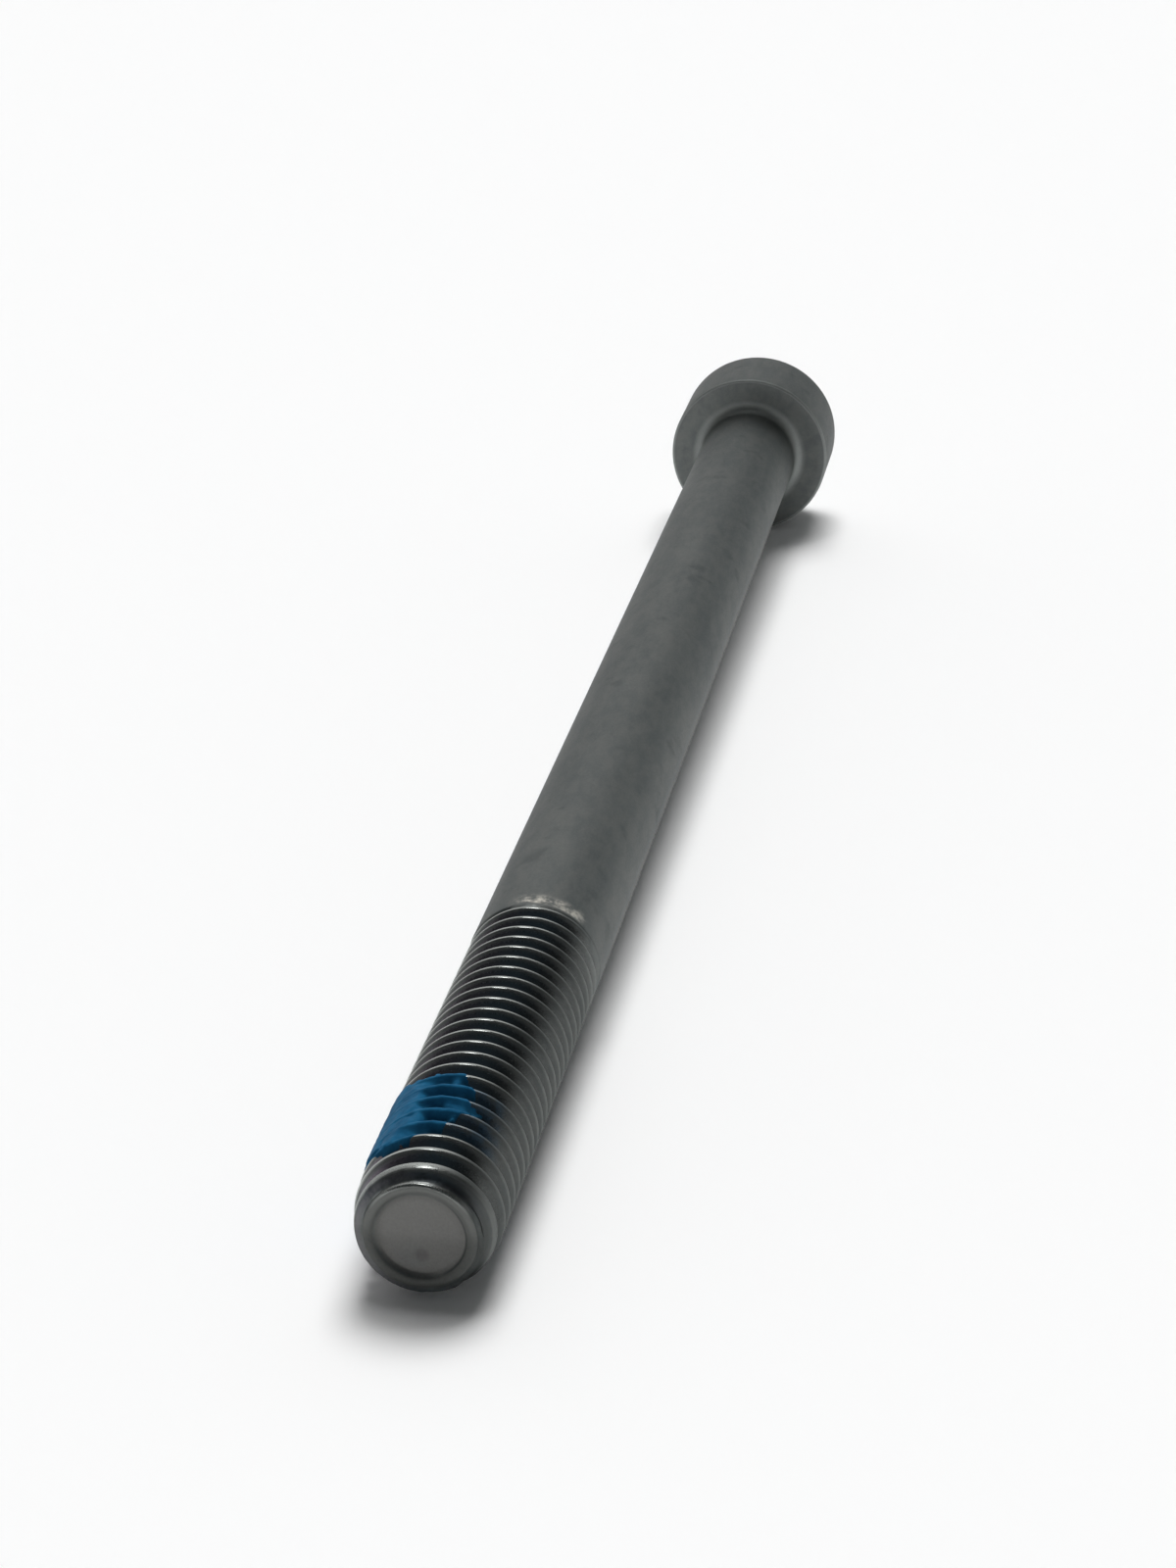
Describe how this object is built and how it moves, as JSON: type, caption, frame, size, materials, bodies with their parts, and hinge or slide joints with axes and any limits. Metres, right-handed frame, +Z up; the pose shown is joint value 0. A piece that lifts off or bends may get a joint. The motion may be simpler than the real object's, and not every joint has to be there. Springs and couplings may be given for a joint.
{
  "type": "hex socket bolt",
  "caption": "Long, slender bolt with a plain cylindrical head, a hexagon socket, a part-length thread and a blue nylon locking patch near the dished thread end.",
  "frame": {"origin": "middle of the bounding box at ground level, with the bolt lying as it comes to rest", "axes": "+X along the bolt from its head to its thread end, +Z up; the bolt's axis dips 1.2 degrees towards +X because the head is wider than the thread; the locking patch faces -Y"},
  "size_m": [0.106, 0.0098, 0.01],
  "materials": {
    "dark_steel": "matt dark grey phosphate coat over steel, worn bright at the thread crests",
    "blue_nylon": "fused nylon powder, matt, thin at its ragged edges"
  },
  "bodies": {
    "root": {"bolt": "dark_steel", "locking_patch": "blue_nylon"}
  },
  "joints": []
}
